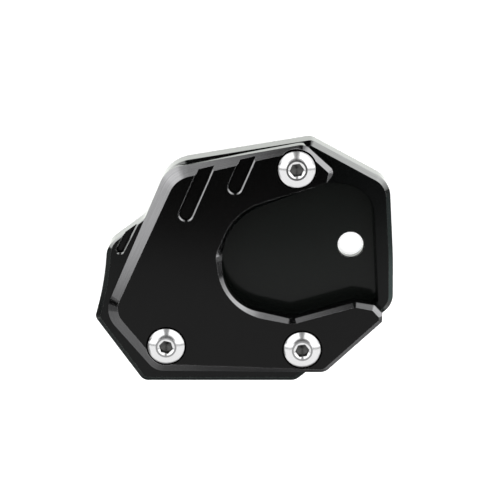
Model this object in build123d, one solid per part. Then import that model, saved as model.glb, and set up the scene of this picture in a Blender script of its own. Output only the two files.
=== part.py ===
from build123d import *
from math import radians, tan
import os

# Heights, in millimetres, with the underside of the base at zero
base_thickness = 9.0
pocket_floor = 3.0
clamp_thickness = 5.0

# Edges of the plates, with the rise of each bevel in degrees
base_bevel_rise = 45.0
underside_break = 0.4
clamp_bevel_rise = 40.0
opening_bevel_rise = 45.0
opening_bevel_limit = 3.0

# Opening of the clamp plate: its left edge, and the rising edge of its upper arm
opening_left = -7.25
opening_top = 14.85
opening_bottom = -12.65
arm_slope = 0.4
low_vertex = (15.5, -17.9)
high_vertex = (36.0, -12.1)
lower_end = (42.4, -13.2)
lower_end_slope = -1.07

# Bevel round the opening, which fades out along the upper arm
opening_bevel_left = 2.2
opening_bevel_low = 1.4
opening_bevel_end = 0.7
opening_bevel_corner = 0.65
left_bevel_middle = 3.9
arm_bevel_start = (-3.0, 18.9)
arm_bevel_fade = 23.2

# Pocket that takes the foot of the stand, and the round hole in its floor
foot_lip = 1.5
pocket_top_turn = 22.0
pocket_right_top = (41.45, 25.2)
pocket_right = 43.8
hole_centre = (34.8, 4.8)
hole_radius = 4.2
hole_break = 0.3

# Screws: button heads with a hexagon socket
screw_centres = {
    "screw_top": (16.75, 32.5),
    "screw_bottom_left": (-25.6, -26.7),
    "screw_bottom_right": (18.9, -27.9),
}
socket_turns = {"screw_top": 8.0, "screw_bottom_left": -15.0, "screw_bottom_right": 8.0}
shank_radius = 3.0
shank_recess = 0.8
shank_break = 0.5
head_radius = 6.0
head_rim = 1.3
head_height = 2.7
dome_rise = 0.15
crown_radius = 3.4
socket_flats = 4.0
socket_depth = 2.4
socket_mouth_radius = 2.8
socket_mouth_depth = 0.43
drill_point = 0.8
drill_flat = 0.2

# Seats and holes of the screws
seat_depth = 1.2
head_clearance = 0.6
clamp_hole_clearance = 0.3
thread_clearance = 0.05
tapped_hole_break = 0.5

# Grooves: the middle of the round end, and the width over the bevelled rim
groove_reach = 22.0
groove_rim = 0.45
groove_rim_rise = 45.0
clamp_grooves = [(-18.8, 17.75), (-3.0, 26.65)]
clamp_groove_turn = 66.5
clamp_groove_width = 5.05
clamp_groove_depth = 1.2
wing_groove = (-40.5, 4.45)
wing_groove_turn = 63.0
wing_groove_width = 3.0
wing_groove_depth = 1.9

# Corners of the outlines as x, y and radius, clockwise from the top left. Each plate has an
# outline for its walls and one for its top face, and the bevel lies between them.
base_corners = [
    (-24.3, 33.2, 12.0),
    (21.6, 40.8, 3.0),
    (47.0, 26.9, 8.0),
    (48.5, 2.0, 150.0),
    (48.75, -14.4, 7.0),
    (16.9, -40.55, 4.0),
    (-33.55, -40.55, 3.0),
    (-49.1, -18.6, 2.5),
    (-45.9, -7.2, 95.0),
    (-44.75, 5.75, 7.0),
    (-32.1, 15.0, 9.0),
]
base_face_corners = [
    (-23.25, 31.85, 10.5),
    (21.35, 39.25, 1.5),
    (45.55, 26.0, 6.5),
    (47.0, 1.95, 148.5),
    (47.25, -13.7, 5.5),
    (16.35, -39.05, 2.5),
    (-32.75, -39.05, 1.5),
    (-47.45, -18.3, 1.0),
    (-44.4, -7.5, 96.5),
    (-43.2, 6.25, 5.5),
    (-29.75, 16.7, 10.5),
]
clamp_corners = [
    (-25.1, 32.1, 9.0),
    (19.3, 40.5, 4.0),
    (29.2, 31.4, 2.2),
    (25.0, 26.5, 0.0),
    (45.1, -13.0, 0.0),
    (44.9, -18.8, 0.6),
    (26.5, -36.0, 4.0),
    (-29.5, -36.0, 6.0),
    (-46.0, -16.5, 9.0),
]
clamp_face_corners = [
    (-22.05, 29.15, 9.0),
    (18.9, 38.8, 2.2),
    (26.9, 31.4, 0.6),
    (25.4, 23.4, 0.0),
    (43.9, -13.0, 0.0),
    (43.8, -17.9, 0.5),
    (25.8, -34.8, 3.0),
    (-27.95, -32.85, 3.0),
    (-42.3, -15.0, 6.5),
]

# The opening is cut to here, past the right-hand side of both plates
open_side = 60.0

clamp_top = base_thickness + clamp_thickness
seat_height = clamp_top - seat_depth
shank_length = seat_height - shank_recess
tapped_radius = shank_radius + thread_clearance


def along(start, slope, x):
    """The point at x on a line of a given slope through a starting point."""
    return (x, start[1] + slope * (x - start[0]))


def arm_edge(x):
    """The point at x on the inner edge of the clamp's upper arm."""
    return along((opening_left, opening_top), arm_slope, x)


def opening_wall_corners():
    """The opening of the clamp plate where its walls stand upright."""
    return [
        (opening_left, opening_top, 19.5),
        (*arm_edge(open_side), 0.0),
        (*along(lower_end, lower_end_slope, open_side), 0.0),
        (*lower_end, 0.6),
        (*high_vertex, 1.6),
        (*low_vertex, 4.5),
        (opening_left, opening_bottom, 15.3),
    ]


def opening_face_corners():
    """The opening where its bevel meets the top face of the clamp plate."""
    fade = arm_edge(arm_bevel_fade)
    fade_slope = (fade[1] - arm_bevel_start[1]) / (fade[0] - arm_bevel_start[0])
    end = (lower_end[0] - opening_bevel_end, lower_end[1] - opening_bevel_low)
    return [
        (*arm_bevel_start, 19.0),
        (*along(arm_bevel_start, fade_slope, open_side), 0.0),
        (*along(end, lower_end_slope, open_side), 0.0),
        (*end, 0.6),
        (high_vertex[0], high_vertex[1] - opening_bevel_low, 1.4),
        (low_vertex[0], low_vertex[1] - opening_bevel_low, 6.0),
        (opening_left + opening_bevel_corner, opening_bottom - opening_bevel_left, 19.0),
        (opening_left - opening_bevel_left, left_bevel_middle, 8.0),
    ]


def pocket_corners():
    """The pocket of the base, which reaches under the clamp plate by the lip."""
    top_turn = arm_edge(pocket_top_turn)
    return [
        (opening_left - foot_lip, opening_top, 21.0),
        (top_turn[0], top_turn[1] + foot_lip, 3.0),
        (*pocket_right_top, 10.7),
        (pocket_right, lower_end[1] - foot_lip, 2.0),
        (high_vertex[0], high_vertex[1] - foot_lip, 1.5),
        (low_vertex[0], low_vertex[1] - foot_lip, 3.0),
        (opening_left - foot_lip, opening_bottom - foot_lip, 16.8),
    ]


def outline(corners, height=0.0):
    """A face at a height, from clockwise corners that each have their own radius."""
    anticlockwise = corners[::-1]
    points = [(x, y) for x, y, _ in anticlockwise]
    radii = [radius for _, _, radius in anticlockwise]
    return Pos(0, 0, height) * make_face(FilletPolyline(*points, radius=radii, close=True))


def slab(corners, bottom, top):
    """A flat plate with straight walls."""
    return extrude(outline(corners, bottom), amount=top - bottom)


def bevelled(face, rise, depth):
    """A block below a face, whose walls lean in at a rise in degrees, or out past 90."""
    foot = offset(face, amount=-depth / tan(radians(rise)), kind=Kind.INTERSECTION)
    return loft([face, Pos(0, 0, -depth) * foot], ruled=True)


def groove(end, turn, width, depth, top):
    """A flat-bottomed groove that runs out over the edge, with a bevelled rim."""
    middle = Location((*end, top), (0, 0, turn))

    def track(track_width):
        """The groove's outline, round at its closed end."""
        straight = Pos(groove_reach / 2, 0) * Rectangle(groove_reach, track_width)
        return straight + Circle(track_width / 2)

    floor = extrude(track(width - 2 * groove_rim), amount=-depth)
    return middle * (floor + bevelled(track(width), groove_rim_rise, groove_rim))


def funnel(radius, depth):
    """The bevelled mouth of a hole of a radius, with its wide end up and at the origin."""
    return Cone(radius, radius + depth, depth, align=(Align.CENTER, Align.CENTER, Align.MAX))


def make_base_plate():
    """The lower plate: one milled piece with a pocket for the foot of the stand."""
    plate = slab(base_corners, 0, base_thickness)
    plate &= bevelled(outline(base_face_corners, base_thickness), 180 - base_bevel_rise, base_thickness)
    plate = chamfer(plate.faces().sort_by(Axis.Z)[0].edges(), underside_break)
    plate -= slab(pocket_corners(), pocket_floor, base_thickness)
    plate -= Pos(*hole_centre, 0) * extrude(Circle(hole_radius), amount=pocket_floor)
    plate -= Pos(*hole_centre, pocket_floor) * funnel(hole_radius, hole_break)
    plate -= groove(wing_groove, wing_groove_turn, wing_groove_width, wing_groove_depth, base_thickness)
    lead_in = mirror(funnel(tapped_radius, tapped_hole_break), about=Plane.XY)
    for place in screw_centres.values():
        plate -= Pos(*place, 0) * extrude(Circle(tapped_radius), amount=base_thickness)
        plate -= Pos(*place, 0) * lead_in
    return plate


def make_clamp_plate():
    """The upper plate: a bevelled C that laps over the edge of the foot."""
    plate = slab(clamp_corners, base_thickness, clamp_top)
    plate &= bevelled(outline(clamp_face_corners, clamp_top), 180 - clamp_bevel_rise, clamp_thickness)
    plate -= slab(opening_wall_corners(), base_thickness, clamp_top)
    opening_face = outline(opening_face_corners(), clamp_top)
    plate -= bevelled(opening_face, opening_bevel_rise, opening_bevel_limit)
    for end in clamp_grooves:
        plate -= groove(end, clamp_groove_turn, clamp_groove_width, clamp_groove_depth, clamp_top)
    for place in screw_centres.values():
        seat = extrude(Circle(head_radius + head_clearance), amount=seat_depth)
        passage = extrude(Circle(shank_radius + clamp_hole_clearance), amount=clamp_thickness)
        plate -= Pos(*place, seat_height) * seat
        plate -= Pos(*place, base_thickness) * passage
    return plate


def make_screw_head():
    """A low domed head on its seat, round its own axis."""
    edge = (head_radius, head_rim)
    crown = (crown_radius, head_height)
    lower_side = Polyline((0, 0), (head_radius, 0), edge)
    dome = SagittaArc(crown, edge, dome_rise)
    upper_side = Polyline(crown, (0, head_height), (0, 0))
    return revolve(Plane.XZ * make_face(lower_side + dome + upper_side), axis=Axis.Z)


def make_socket():
    """The hexagon socket with the drill's point below it, from the crown down."""
    hexagon = RegularPolygon(socket_flats / 2, 6, major_radius=False)
    socket = extrude(hexagon, amount=-socket_depth)
    below = (Align.CENTER, Align.CENTER, Align.MAX)
    point = Pos(0, 0, -socket_depth) * Cone(drill_flat, socket_flats / 2, drill_point, align=below)
    mouth = Cone(socket_flats / 2, socket_mouth_radius, socket_mouth_depth, align=below)
    return socket + point + mouth


def make_screw(place, turn):
    """A button-head screw in its seat, with its socket turned as it was tightened."""
    shank = Pos(0, 0, -shank_length) * extrude(Circle(shank_radius), amount=shank_length)
    shank = chamfer(shank.faces().sort_by(Axis.Z)[0].edges(), shank_break)
    recess = Pos(0, 0, head_height) * Rot(0, 0, turn) * make_socket()
    return Pos(*place, seat_height) * (make_screw_head() + shank - recess)


def main():
    """Builds every piece and writes one file for each."""
    nodes = {
        "base_plate": make_base_plate(),
        "clamp_plate": make_clamp_plate(),
    }
    for name, place in screw_centres.items():
        nodes[name] = make_screw(place, socket_turns[name])
    os.makedirs("parts", exist_ok=True)
    for name, solid in nodes.items():
        export_step(solid, f"parts/{name}.step")
        box = solid.bounding_box()
        print(name, solid.is_valid, len(solid.solids()), round(solid.volume), box.min, box.max)


main()
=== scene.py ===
import math

import bpy
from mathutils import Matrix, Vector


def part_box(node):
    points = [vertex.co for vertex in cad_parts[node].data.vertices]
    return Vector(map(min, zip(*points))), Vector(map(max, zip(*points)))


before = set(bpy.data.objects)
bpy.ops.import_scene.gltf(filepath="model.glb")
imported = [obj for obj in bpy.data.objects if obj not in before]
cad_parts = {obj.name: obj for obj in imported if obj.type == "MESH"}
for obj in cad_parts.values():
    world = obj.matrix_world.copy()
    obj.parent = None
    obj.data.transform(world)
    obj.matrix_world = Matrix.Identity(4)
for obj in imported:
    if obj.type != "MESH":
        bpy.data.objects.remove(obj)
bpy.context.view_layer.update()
MM = 0.001


def grey(level):
    return (level, level, level, 1.0)


def scaled(colour, factor):
    """A lighter or darker version of a colour."""
    return tuple(factor * part for part in colour[:3]) + (1.0,)


class Nodes:
    """A node tree, with short calls for the nodes that the materials and the light share."""

    def __init__(self, tree):
        self.tree = tree

    def put(self, socket, value):
        """Links another node's output to the socket, or sets the socket's own value."""
        if isinstance(value, bpy.types.NodeSocket):
            self.tree.links.new(value, socket)
        else:
            socket.default_value = value

    def add(self, kind, **inputs):
        """A new node, with its inputs given by name."""
        node = self.tree.nodes.new(kind)
        for name, value in inputs.items():
            self.put(node.inputs[name], value)
        return node

    def math(self, operation, *values):
        node = self.tree.nodes.new("ShaderNodeMath")
        node.operation = operation
        for socket, value in zip(node.inputs, values):
            self.put(socket, value)
        return node.outputs[0]

    def product(self, value, *others):
        for other in others:
            value = self.math("MULTIPLY", value, other)
        return value

    def total(self, value, *others):
        for other in others:
            value = self.math("ADD", value, other)
        return value

    def less(self, whole, part):
        return self.math("SUBTRACT", whole, part)

    def ramp(self, value, start, end):
        """0 up to start and 1 from end on, with a smooth rise between them. End may be the lower one."""
        node = self.tree.nodes.new("ShaderNodeMapRange")
        node.interpolation_type = "SMOOTHSTEP"
        for socket, number in zip(node.inputs[:3], (value, start, end)):
            self.put(socket, number)
        return node.outputs[0]

    def blend(self, share, first, second):
        """A colour between two others, or a number where both are numbers."""
        kinds = [getattr(value, "type", type(value)) for value in (first, second)]
        node = self.tree.nodes.new("ShaderNodeMix")
        node.data_type = "FLOAT" if all(kind in ("VALUE", float) for kind in kinds) else "RGBA"
        inputs = [socket for socket in node.inputs if socket.enabled]
        for socket, value in zip(inputs, (share, first, second)):
            self.put(socket, value)
        return next(socket for socket in node.outputs if socket.enabled)

    def noise(self, place, per_metre, detail=2.0, roughness=0.5):
        """Noise of a given number of spots to the metre, or of one number for each axis."""
        if isinstance(per_metre, tuple):
            place = self.add("ShaderNodeMapping", Vector=place, Scale=per_metre).outputs[0]
            per_metre = 1.0
        node = self.add("ShaderNodeTexNoise", Vector=place, Scale=per_metre)
        self.put(node.inputs["Detail"], detail)
        self.put(node.inputs["Roughness"], roughness)
        return node.outputs[0]

    def openness(self, reach, alone, inside=False):
        """1 in the open and less within reach of a corner, or of an edge when measured inside the piece."""
        node = self.add("ShaderNodeAmbientOcclusion", Distance=reach)
        node.samples = 6
        node.only_local = alone
        node.inside = inside
        return node.outputs["AO"]

    def normal(self, edge_radius, relief, depth):
        """The surface's direction, with rounded edges and a fine relief."""
        rounded = self.add("ShaderNodeBevel", Radius=edge_radius)
        rounded.samples = 4
        return self.add("ShaderNodeBump", Height=relief, Distance=depth, Normal=rounded.outputs[0]).outputs[0]


def new_material(name):
    material = bpy.data.materials.new(name)
    material.use_nodes = True
    nodes = Nodes(material.node_tree)
    return material, nodes, nodes.tree.nodes["Principled BSDF"]


# How far faces look up, from 0 for upright to 1 for level: bevels lie between these two changes
UPRIGHT_TO_SLOPE = (0.30, 0.40)
SLOPE_TO_LEVEL = (0.95, 0.985)

# Spots to the metre of the plates' surface noise
CUTTER_MARKS = (90.0, 90.0, 9000.0)
PATCHES = 160.0
GRAIN = 2600.0
SCRATCHES = (700.0, 5200.0, 700.0)
CLOUDS = 45.0

# Depth of the plates' relief, and the reach of the painted shade from an inside corner
PLATE_RELIEF = 0.0007 * MM
CORNER_SHADE_REACH = 1.0 * MM


def plate_material(name, black, metal, edge_radius, alone=False, pocket=None, edge_line=None):
    """Black anodised aluminium whose sloping edges are cut through to bright, brushed metal.

    Alone leaves other pieces out when corners are looked for. Pocket is the height and the colour
    of a recessed floor, and edge_line the width of the painted dark line, a painted shade and dark
    reflection, along the level faces' edges.
    """
    material, n, surface = new_material(name)
    coordinates = n.add("ShaderNodeTexCoord").outputs
    place = coordinates["Object"]
    up = n.add("ShaderNodeSeparateXYZ", Vector=coordinates["Normal"]).outputs["Z"]
    level = n.ramp(up, *SLOPE_TO_LEVEL)
    slope = n.product(n.ramp(up, *UPRIGHT_TO_SLOPE), n.less(1.0, level))

    # Cutter marks run along each bevel, at a constant height
    marks = n.noise(place, CUTTER_MARKS, 3.0, 0.6)
    patches = n.noise(place, PATCHES)
    grain = n.noise(place, GRAIN, 3.0, 0.65)
    scratches = n.noise(place, SCRATCHES)
    clouds = n.noise(place, CLOUDS, 3.0)

    # The anodised faces are speckled, and the floor of the pocket is a little lighter
    dark = black
    if pocket:
        floor_height, floor_black = pocket
        height = n.add("ShaderNodeSeparateXYZ", Vector=place).outputs["Z"]
        off_floor = n.math("ABSOLUTE", n.less(height, floor_height))
        on_floor = n.less(1.0, n.ramp(off_floor, 0.2 * MM, 0.5 * MM))
        dark = n.blend(n.product(on_floor, level), black, floor_black)
    speckles = n.ramp(grain, 0.45, 0.75)
    dark = n.blend(n.product(speckles, 0.6), dark, scaled(black, 3.2))

    # Painted shade: within reach of an inside corner, and of the screw heads on the clamp, the plates shine
    # less
    open_air = n.ramp(n.openness(CORNER_SHADE_REACH, alone), 0.45, 0.92)
    shine = n.product(0.5, open_air)
    # Painted shade: a dark, less shiny line along the level faces' edges stands in for the shade and dark
    # reflection there
    if edge_line:
        inner = n.ramp(n.openness(edge_line, True, inside=True), 0.55, 0.90)
        line = n.product(level, n.less(1.0, inner))
        shine = n.product(shine, n.less(1.0, n.product(line, 0.9)))
        dark = n.blend(n.product(line, 0.8), dark, grey(0.0))

    bright = n.blend(n.ramp(marks, 0.3, 0.7), scaled(metal, 0.86), metal)
    satin = n.total(0.05, n.product(grain, 0.07), n.product(clouds, 0.04))
    brushed = n.total(0.05, n.product(marks, 0.06), n.product(patches, 0.03))
    relief = n.blend(slope, n.total(n.product(grain, 0.4), n.product(scratches, 0.2)), marks)
    n.put(surface.inputs["Base Color"], n.blend(slope, dark, bright))
    n.put(surface.inputs["Metallic"], slope)
    n.put(surface.inputs["Roughness"], n.blend(slope, satin, brushed))
    n.put(surface.inputs["IOR"], 1.5)
    n.put(surface.inputs["Specular IOR Level"], shine)
    n.put(surface.inputs["Normal"], n.normal(edge_radius, relief, PLATE_RELIEF))
    return material


# Where the duller steel and the painted shade of a screw's socket start and are full, by depth under the
# crown and by radius
SOCKET_DEPTHS = (0.3 * MM, 2.2 * MM)
SOCKET_RADII = (2.6 * MM, 2.4 * MM)
SOCKET_PAINTED_SHADE = (0.045, 0.045, 0.043, 1.0)
STEEL = (0.93, 0.93, 0.93, 1.0)
WORN_STEEL = (0.86, 0.86, 0.87, 1.0)

# Spots to the metre of the marks round a screw, outwards and upwards, and of the smudges
TURNING_MARKS = (9000.0, 900.0)
SMUDGES = 420.0


def screw_material(name, centre, top):
    """Polished stainless steel with faint turning marks round the screw's own axis."""
    material, n, surface = new_material(name)
    place = n.add("ShaderNodeTexCoord").outputs["Object"]
    x, y, z = n.add("ShaderNodeSeparateXYZ", Vector=place).outputs
    x = n.less(x, centre[0])
    y = n.less(y, centre[1])
    radius = n.math("SQRT", n.total(n.product(x, x), n.product(y, y)))
    out, rise = TURNING_MARKS
    ring = n.add("ShaderNodeCombineXYZ", X=n.product(radius, out), Y=n.product(z, rise)).outputs[0]
    turning = n.noise(ring, 1.0, 3.0, 0.6)
    smudges = n.noise(place, SMUDGES, 3.0)

    # The socket's walls and floor are duller, and a painted shade makes them darker towards the bottom
    inside = n.product(n.ramp(n.less(top, z), *SOCKET_DEPTHS), n.ramp(radius, *SOCKET_RADII))
    steel = n.blend(n.ramp(turning, 0.25, 0.75), WORN_STEEL, STEEL)
    gloss = n.total(0.11, n.product(turning, 0.04), n.product(smudges, 0.05))
    n.put(surface.inputs["Base Color"], n.blend(n.product(inside, 0.94), steel, SOCKET_PAINTED_SHADE))
    n.put(surface.inputs["Metallic"], 1.0)
    n.put(surface.inputs["Roughness"], n.total(gloss, n.product(inside, 0.15)))
    n.put(surface.inputs["Normal"], n.normal(0.10 * MM, turning, 0.003 * MM))
    return material


def floor_material():
    """A pale, matt table top with a faint mottle, which gives a little light of its own."""
    material, n, surface = new_material("pale_floor")
    place = n.add("ShaderNodeTexCoord").outputs["Object"]
    mottle = n.noise(place, 30.0, 4.0)
    n.put(surface.inputs["Base Color"], n.blend(mottle, grey(0.90), grey(0.94)))
    n.put(surface.inputs["Roughness"], 0.9)
    n.put(surface.inputs["Specular IOR Level"], 0.0)
    n.put(surface.inputs["Emission Color"], grey(1.0))
    n.put(surface.inputs["Emission Strength"], 0.42)
    return material


def dress(node, material):
    """Gives every material slot of a CAD node the new material."""
    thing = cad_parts[node]
    if not thing.material_slots:
        thing.data.materials.append(material)
    for slot in thing.material_slots:
        slot.material = material


def dress_all():
    """Dresses both plates and the three screws."""
    pocket_floor = 3.0 * MM
    dress("base_plate", plate_material(
        "base_plate_anodised", black=(0.0012, 0.0015, 0.0015, 1.0), metal=(0.60, 0.61, 0.60, 1.0),
        edge_radius=0.06 * MM, alone=True, pocket=(pocket_floor, (0.0048, 0.0058, 0.0051, 1.0)),
        edge_line=0.55 * MM))
    dress("clamp_plate", plate_material(
        "clamp_plate_anodised", black=grey(0.0008), metal=(0.62, 0.62, 0.63, 1.0),
        edge_radius=0.10 * MM))
    for screw in ("screw_top", "screw_bottom_left", "screw_bottom_right"):
        low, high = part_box(screw)
        dress(screw, screw_material(screw + "_steel", (low + high) / 2, high.z))


def make_floor():
    """A wide table top whose far edges lie well out of sight."""
    half = 4.0
    height = -0.05 * MM
    corners = [(-half, -half, height), (half, -half, height), (half, half, height), (-half, half, height)]
    mesh = bpy.data.meshes.new("floor")
    mesh.from_pydata(corners, [], [(0, 1, 2, 3)])
    mesh.materials.append(floor_material())
    floor = bpy.data.objects.new("floor", mesh)
    bpy.context.scene.collection.objects.link(floor)
    floor.visible_glossy = False


# Levels of the light that the metal mirrors, as (degrees round the object, level). 0 is the right-hand
# side of the photograph, -90 its lower edge and 90 its upper edge. HORIZON is the light from just over
# the horizon and PANELS that from half-way up, each in two halves.
LOWER_HORIZON = [
    (-180, 0.005), (-173, 0.005), (-170.5, 0.08), (-162, 0.085), (-159, 0.19), (-132, 0.20),
    (-129, 0.16), (-119, 0.16), (-102, 0.125), (-94, 0.11), (-92.3, 0.05), (-90.5, 0.045), (-88, 0.07),
    (-75, 0.10), (-62, 0.20), (-50, 0.12), (-37.5, 0.12), (-24, 0.11), (-9, 0.13), (-1.5, 0.035),
    (0, 0.03),
]
UPPER_HORIZON = [
    (0, 0.03), (7.5, 0.010), (10.5, 0.33), (28.6, 0.52), (43, 0.80), (54.5, 0.88), (64, 0.62),
    (73, 0.31), (77.5, 0.28), (82, 0.005), (109, 0.005), (110, 0.05), (111, 0.20), (112, 0.34),
    (120.5, 0.40), (135.4, 0.88), (150, 0.90), (162.7, 0.68), (170.7, 0.62), (172.6, 0.12),
    (177, 0.11), (179.5, 0.005), (180, 0.005),
]
LOWER_PANELS = [
    (-180, 1.30), (-171, 1.30), (-165, 0.94), (-90, 0.90), (-15, 0.94), (-9, 1.30), (0, 1.30),
]
UPPER_PANELS = [
    (0, 1.30), (74, 1.30), (80, 0.34), (90, 0.24), (100, 0.34), (106, 1.30), (180, 1.30),
]

# Slant of the panels' edges near the horizon, in degrees round for each degree up
RIGHT_SLANT = 1.8
LEFT_SLANT = 0.5
LEFT_SLANT_FROM = 13.0

# Ground that the lowest reflections show, on each side of the object
LEFT_GROUND = (0.042, 0.045, 0.045, 1.0)
UPPER_RIGHT_GROUND = (0.022, 0.028, 0.028, 1.0)
LOWER_RIGHT_GROUND = (0.11, 0.14, 0.138, 1.0)
LOWER_GROUND = (0.028, 0.034, 0.033, 1.0)

# Degrees over the horizon where the panels start, on each side, and how softly
START_RIGHT, START_LEFT, START_LOWER, START_UPPER = 5.5, 13.5, -0.5, 23.5
START_SOFTNESS = 4.0

# Dark seams between the panels, where y is near SEAM_PLACE
SEAM_PLACE = -0.17
SEAM_WIDTH = (0.08, 0.02)
SEAM_GREY = 0.25

# The tent's top, its dark zenith and the pale table underneath, from where to where each fades in
TOP = (61.0, 66.0)
LOWER_TOP_GREY, UPPER_TOP_GREY = 0.37, 0.13
UPPER_TOP_DROP = 3.0
ZENITH = (74.3, 75.5)
ZENITH_GREY = 0.010
TABLE = (-35.0, -55.0)
TABLE_WHITE = (1.68, 1.73, 1.66, 1.0)
SOFT_WHITE = 1.45


def half_round(n, place, stops):
    """The level at a place from 0 to 1 on a half turn, between stops that are in degrees."""
    node = n.tree.nodes.new("ShaderNodeValToRGB")
    n.put(node.inputs[0], place)
    node.color_ramp.interpolation = "EASE"
    points = node.color_ramp.elements
    while len(points) > 1:
        points.remove(points[-1])
    (first_angle, first_level), *others = stops
    points[0].position = 0.0
    points[0].color = grey(first_level)
    for angle, level in others:
        points.new((angle - first_angle) / 180.0).color = grey(level)
    return node.outputs[0]


def all_round(n, turn, lower, upper):
    """The level in a direction, from one ramp for the lower half turn and one for the upper half."""
    double = n.product(turn, 2.0)
    lower_level = half_round(n, double, lower)
    upper_level = half_round(n, n.less(double, 1.0), upper)
    return n.blend(n.math("GREATER_THAN", turn, 0.5), lower_level, upper_level)


def horizon_light(n, x, y, turn, rise):
    """Light from just over the horizon, with the darker ground under it."""
    right = n.math("MAXIMUM", x, 0.0)
    right_slant = n.product(right, right, n.product(rise, RIGHT_SLANT / 360.0))
    leftward = n.product(n.ramp(x, 0.0, -0.2), n.ramp(y, -0.9, -0.4))
    left_slant = n.product(leftward, n.less(rise, LEFT_SLANT_FROM), LEFT_SLANT / 360.0)
    light = all_round(n, n.total(turn, right_slant, left_slant), LOWER_HORIZON, UPPER_HORIZON)

    on_left = n.product(n.ramp(rise, 1.0, -1.5), n.ramp(x, -0.8, -0.92))
    on_right = n.product(n.ramp(rise, 0.0, -2.5), n.ramp(x, 0.80, 0.92))
    below = n.product(n.ramp(rise, -10.0, -13.0), n.ramp(x, 0.62, 0.52))
    right_ground = n.blend(n.ramp(y, -0.16, -0.29), UPPER_RIGHT_GROUND, LOWER_RIGHT_GROUND)
    light = n.blend(on_left, light, LEFT_GROUND)
    light = n.blend(on_right, light, right_ground)
    return n.blend(below, light, LOWER_GROUND)


def panel_light(n, y, turn):
    """Light from the panels half-way up, with dark seams between them."""
    panels = all_round(n, turn, LOWER_PANELS, UPPER_PANELS)
    seam = n.ramp(n.math("ABSOLUTE", n.less(y, SEAM_PLACE)), *SEAM_WIDTH)
    return n.blend(n.product(seam, 0.85), panels, grey(SEAM_GREY))


def panels_share(n, x, y, rise):
    """0 where the horizon's light shows and 1 where the panels have started."""
    start = n.blend(n.ramp(x, -0.6, -0.9), START_RIGHT, START_LEFT)
    start = n.blend(n.ramp(y, -0.5, -0.8), start, START_LOWER)
    start = n.blend(n.ramp(y, -0.1, 0.15), start, START_UPPER)
    return n.ramp(n.less(rise, start), 0.0, START_SOFTNESS)


def make_light():
    """A light tent: soft white all round, with the panels and gaps that the metal mirrors."""
    world = bpy.data.worlds.new("light_tent")
    bpy.context.scene.world = world
    world.use_nodes = True
    world.cycles.sampling_method = "NONE"
    n = Nodes(world.node_tree)
    direction = n.add("ShaderNodeTexCoord").outputs["Generated"]
    x, y, z = n.add("ShaderNodeSeparateXYZ", Vector=direction).outputs
    turn = n.total(n.math("DIVIDE", n.math("ARCTAN2", y, x), 2 * math.pi), 0.5)
    rise = n.product(n.math("ARCSINE", z), 180 / math.pi)

    tent = n.blend(panels_share(n, x, y, rise), horizon_light(n, x, y, turn, rise), panel_light(n, y, turn))
    top = n.blend(n.ramp(y, 0.0, 0.15), grey(LOWER_TOP_GREY), grey(UPPER_TOP_GREY))
    top_rise = n.total(rise, n.product(n.ramp(y, 0.0, 0.2), UPPER_TOP_DROP))
    tent = n.blend(n.ramp(top_rise, *TOP), tent, top)
    tent = n.blend(n.ramp(rise, *ZENITH), tent, grey(ZENITH_GREY))
    tent = n.blend(n.ramp(rise, *TABLE), tent, TABLE_WHITE)

    mirrored = n.add("ShaderNodeLightPath").outputs["Is Glossy Ray"]
    background = n.tree.nodes["Background"]
    n.put(background.inputs["Color"], n.blend(mirrored, grey(SOFT_WHITE), tent))
    n.put(background.inputs["Strength"], 1.0)


def make_camera():
    """The photograph's view: from above, a little past the upper edge."""
    data = bpy.data.cameras.new("camera")
    data.sensor_width = 36.0
    data.lens = 146.55
    camera = bpy.data.objects.new("camera", data)
    camera.location = (0.0010, 0.1753, 0.6419)
    camera.rotation_euler = (math.radians(-15.0), 0.0, 0.0)
    bpy.context.scene.collection.objects.link(camera)
    bpy.context.scene.camera = camera


dress_all()
make_floor()
make_light()
make_camera()
bpy.context.scene.view_settings.view_transform = "Standard"
bpy.context.scene.view_settings.look = "None"
